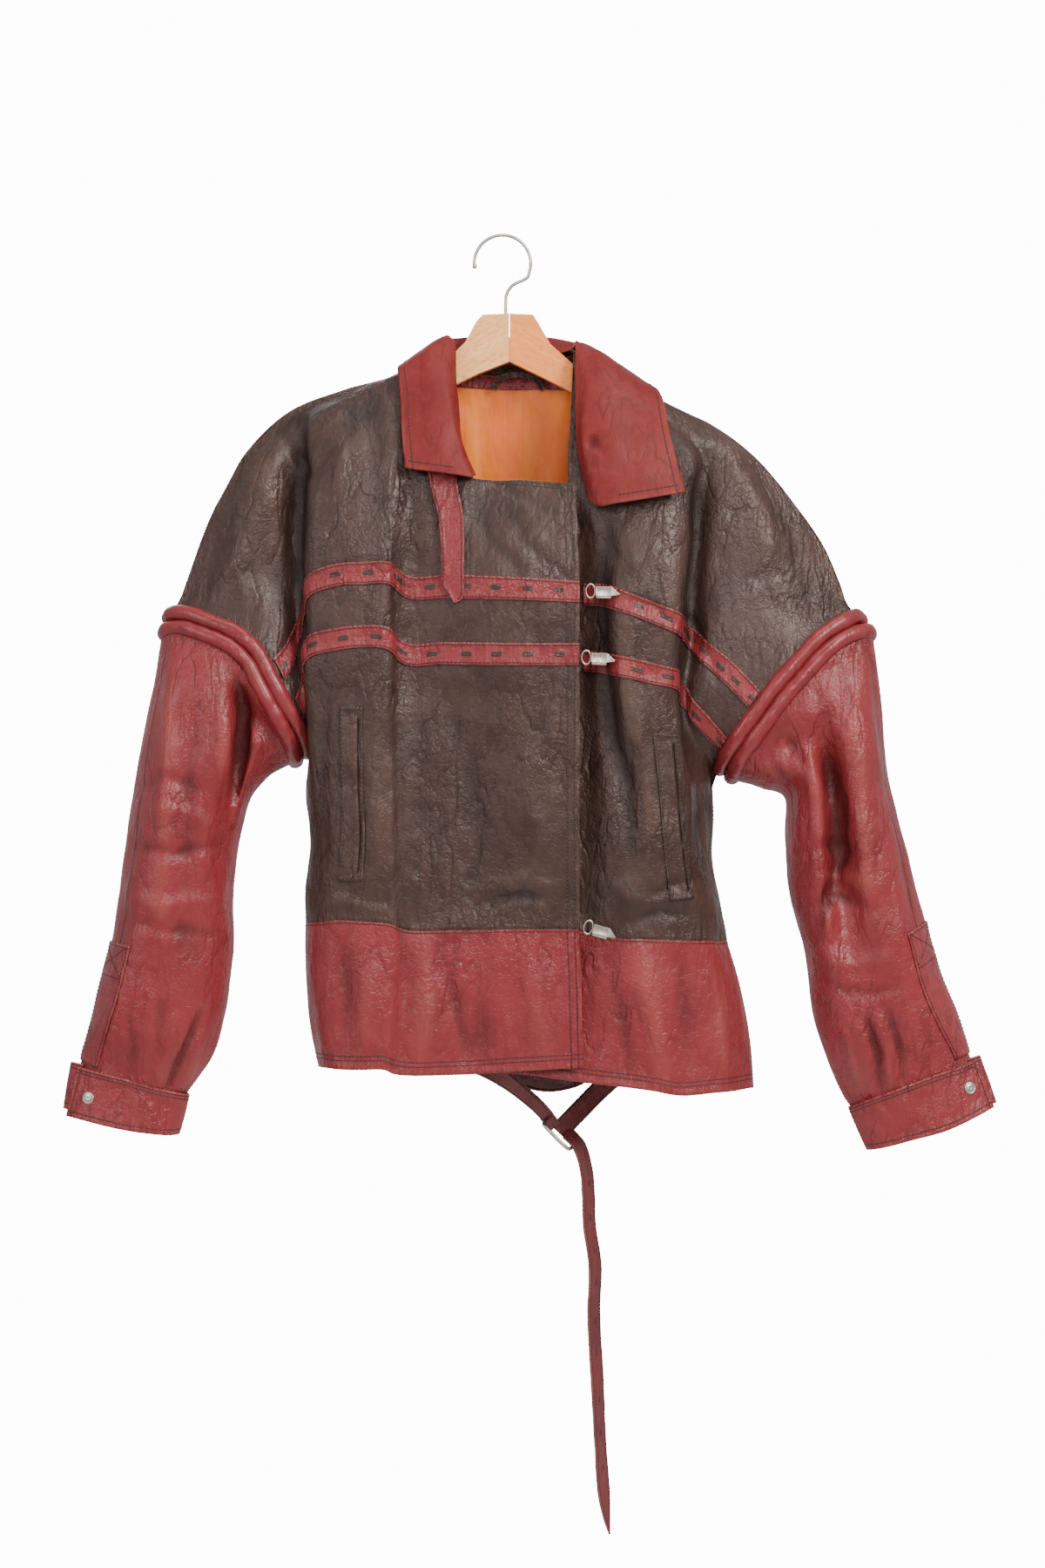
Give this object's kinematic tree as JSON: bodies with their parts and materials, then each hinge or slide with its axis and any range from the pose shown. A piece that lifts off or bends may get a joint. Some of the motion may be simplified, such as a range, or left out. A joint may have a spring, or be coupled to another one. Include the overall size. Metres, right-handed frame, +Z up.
{
  "type": "leather jacket on a wooden hanger",
  "caption": "Two-tone worn leather jacket with fold-down collar, slotted bands, padded armhole rolls and a buckled waist belt, hanging flat on a wooden hanger",
  "frame": {"origin": "inside the top of the wire hook, at the point where it bears on what it hangs from", "axes": "+Z up, X across the shoulders towards the viewer's right, +Y towards the wall and away from the viewer"},
  "size_m": [0.8577, 0.1443, 1.1982],
  "materials": {
    "taupe_leather": "worn semi-gloss olive-brown leather with creases",
    "red_leather": "worn semi-gloss brick-red leather",
    "collar_leather": "matt brick-red leather, a little pinker",
    "belt_leather": "worn burgundy leather",
    "lining_satin": "ochre satin lining",
    "beech": "light beech, clear lacquer",
    "nickel": "plain nickel, slightly worn"
  },
  "bodies": {
    "root": {"front_left": "taupe_leather", "front_right": "taupe_leather", "back": "taupe_leather", "hem_front_left": "red_leather", "hem_front_right": "red_leather", "hem_back": "red_leather", "roll_left_1": "red_leather", "roll_left_2": "red_leather", "roll_right_1": "red_leather", "roll_right_2": "red_leather", "sleeve_left": "red_leather", "sleeve_right": "red_leather", "cuff_left": "red_leather", "cuff_right": "red_leather", "placket_left": "red_leather", "placket_right": "red_leather", "band_left_upper": "red_leather", "band_left_lower": "red_leather", "band_right_upper": "red_leather", "band_right_lower": "red_leather", "welt_left": "taupe_leather", "welt_right": "taupe_leather", "throat_tab": "red_leather", "collar": "collar_leather", "lining_back": "lining_satin", "neck_facing": "red_leather", "hang_loop": "taupe_leather", "snap_left": "nickel", "snap_right": "nickel", "clasp_ring_1": "nickel", "clasp_body_1": "nickel", "clasp_ring_2": "nickel", "clasp_body_2": "nickel", "clasp_ring_3": "nickel", "clasp_body_3": "nickel", "belt_left": "belt_leather", "belt_slack": "belt_leather", "belt_right": "belt_leather", "belt_tail": "belt_leather", "belt_buckle": "nickel", "belt_loop_left": "red_leather", "belt_loop_right": "red_leather", "hanger_left": "beech", "hanger_right": "beech", "hanger_hook": "nickel"}
  },
  "joints": []
}
